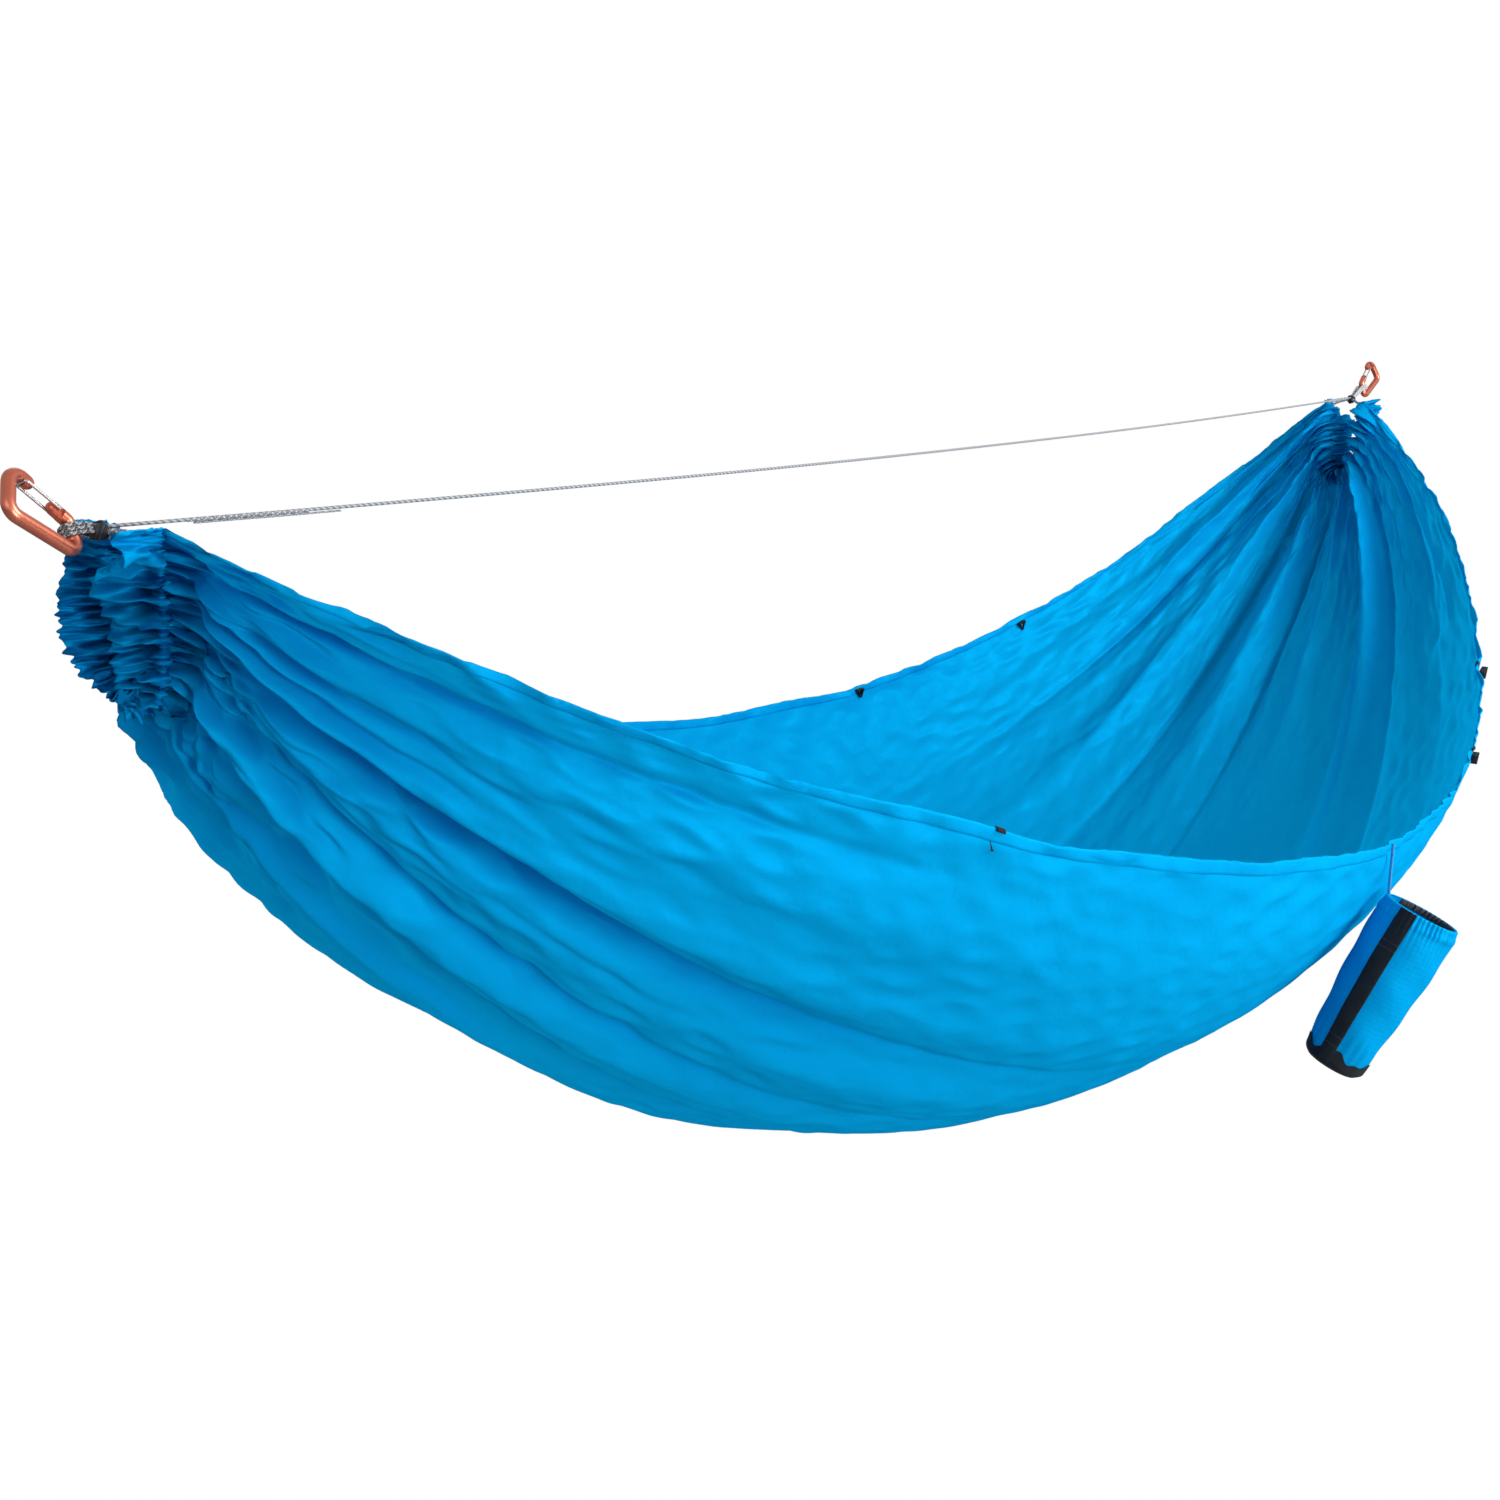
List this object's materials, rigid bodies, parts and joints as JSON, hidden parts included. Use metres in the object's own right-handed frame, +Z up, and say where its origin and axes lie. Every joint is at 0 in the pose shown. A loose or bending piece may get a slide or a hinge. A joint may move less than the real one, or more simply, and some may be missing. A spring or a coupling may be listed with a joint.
{
  "type": "camping hammock",
  "caption": "Gathered-end cloth hammock with hemmed rims, structural ridgeline, carabiners on cord slings, tie-out loops and an attached stuff sack, shown hung.",
  "frame": {"origin": "the point where the left strap bears in the wide end of the left carabiner", "axes": "+X from the left hook to the right hook, +Z up, +Y away from the rim that carries the stuff sack"},
  "size_m": [2.9091, 1.1643, 0.9396],
  "materials": {
    "blue_nylon": "satin",
    "black_webbing": "matte",
    "grey_cord": "matte",
    "black_cord": "matte",
    "blue_cord": "matte",
    "copper_anodised": "satin",
    "gate_wire": "satin"
  },
  "bodies": {
    "bed": {"bed_fabric": "blue_nylon", "near_hem": "blue_nylon", "far_hem": "blue_nylon", "near_tie_loop_1": "black_webbing", "near_tie_loop_2": "black_webbing", "near_tie_loop_3": "black_webbing", "near_tie_loop_4": "black_webbing", "far_tie_loop_1": "black_webbing", "far_tie_loop_2": "black_webbing", "far_tie_loop_3": "black_webbing", "far_tie_loop_4": "black_webbing", "left_sleeve": "blue_nylon", "right_sleeve": "blue_nylon", "left_sling": "grey_cord", "right_sling": "grey_cord", "left_gather_cord": "grey_cord", "right_gather_cord": "grey_cord", "left_knot": "black_cord", "right_knot": "black_cord", "ridgeline": "grey_cord", "ridgeline_bury": "grey_cord", "ridgeline_tail": "grey_cord", "ridgeline_right_eye": "grey_cord"},
    "left_carabiner": {"left_carabiner_body": "copper_anodised"},
    "left_gate": {"left_gate": "gate_wire"},
    "right_carabiner": {"right_carabiner_body": "copper_anodised"},
    "right_gate": {"right_gate": "gate_wire"},
    "tether": {"sack_tether": "blue_cord"},
    "sack": {"sack_mouth_hem": "blue_nylon", "sack_mouth_elastic": "black_cord", "sack_shell": "blue_nylon", "sack_base": "black_webbing", "sack_strap": "black_webbing"}
  },
  "joints": [
    {"name": "left_carabiner_turn", "type": "hinge", "parent": "bed", "child": "left_carabiner", "pos_m": [0.0467, 0.0061, -0.0294], "axis": [0.0064, 0.4369, 0.8995], "range_deg": [-45, 45]},
    {"name": "right_carabiner_turn", "type": "hinge", "parent": "bed", "child": "right_carabiner", "pos_m": [2.833, 0.0025, -0.006], "axis": [-0.0161, 0.2479, 0.9687], "range_deg": [-45, 45]},
    {"name": "left_gate_hinge", "type": "hinge", "parent": "left_carabiner", "child": "left_gate", "pos_m": [0.0389, 0.01, -0.0142], "axis": [0.3644, -0.8387, 0.4048], "range_deg": [0, 28], "stiffness_Nm_per_rad": 0.3, "springref_deg": -34.38},
    {"name": "right_gate_hinge", "type": "hinge", "parent": "right_carabiner", "child": "right_gate", "pos_m": [2.8411, 0.0047, 0.0094], "axis": [0.1945, 0.9511, -0.2401], "range_deg": [0, 28], "stiffness_Nm_per_rad": 0.3, "springref_deg": -34.38},
    {"name": "sack_tether_swing", "type": "hinge", "parent": "bed", "child": "tether", "pos_m": [1.4165, -0.5667, -0.491], "axis": [-1, 0, 0], "range_deg": [-2, 60]},
    {"name": "sack_swing", "type": "hinge", "parent": "tether", "child": "sack", "pos_m": [1.4165, -0.5667, -0.555], "axis": [-0.794, -0.608, 0], "range_deg": [-5, 20]}
  ]
}
